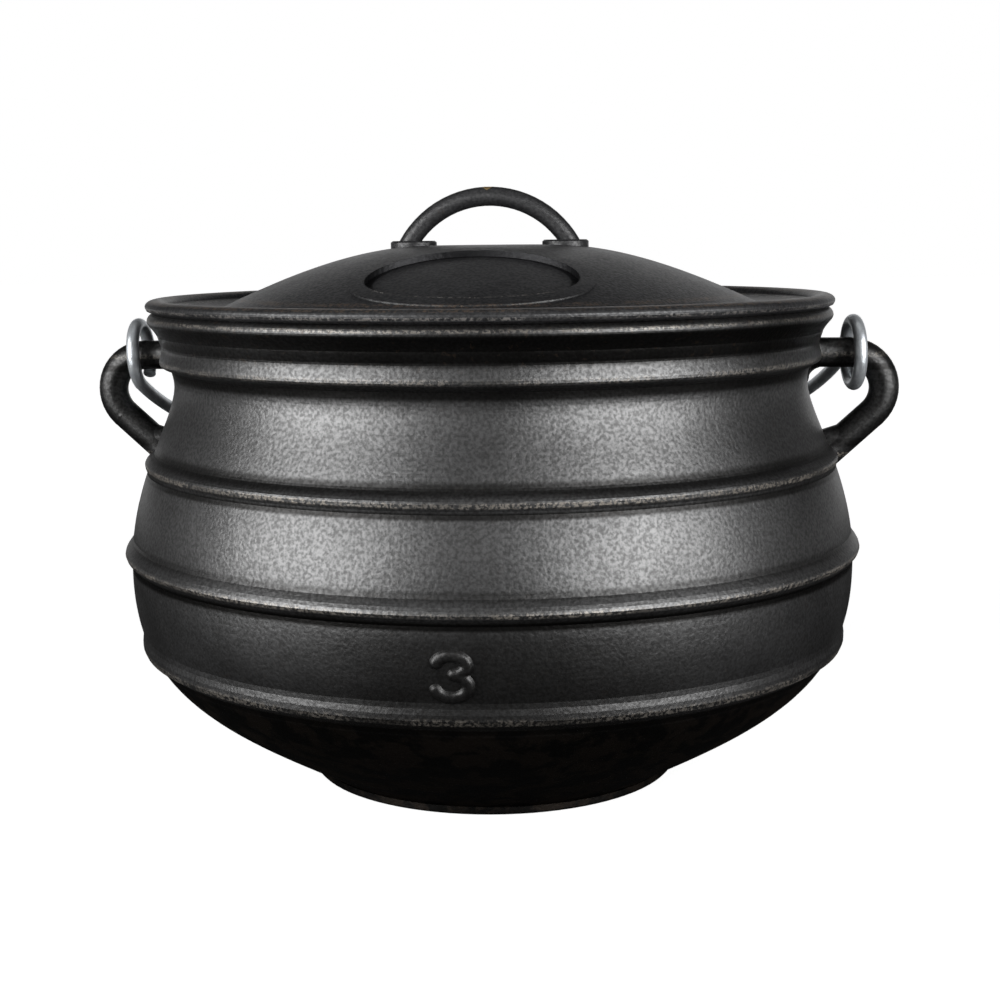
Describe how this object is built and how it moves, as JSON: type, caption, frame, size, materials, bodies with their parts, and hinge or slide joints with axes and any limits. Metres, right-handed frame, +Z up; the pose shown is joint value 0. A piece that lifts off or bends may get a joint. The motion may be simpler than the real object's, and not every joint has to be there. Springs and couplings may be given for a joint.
{
  "type": "potjie pot",
  "caption": "Ridged cast-iron potjie pot with a flat foot, ear lugs, a dished lid with an arch handle, and a swinging wire bail.",
  "frame": {"origin": "centre of the flat foot, on the floor", "axes": "+Z up along the pot's axis, +X through an ear and along the bail's pivot, -Y the front, the side of the lid's oval; the bail lies back towards +Y"},
  "size_m": [0.3092, 0.2873, 0.2231],
  "materials": {
    "iron": "black sand-cast iron, coarse grain, worn ridges",
    "lid_iron": "matt grey-black sand-cast iron",
    "wire": "galvanised steel wire"
  },
  "bodies": {
    "pot": {"pot": "iron", "lid": "lid_iron"},
    "bail": {"bail": "wire"}
  },
  "joints": [
    {"name": "bail_swing", "type": "hinge", "parent": "pot", "child": "bail", "pos_m": [0, 0, 0.16], "axis": [1, 0, 0], "range_deg": [0, 229]}
  ]
}
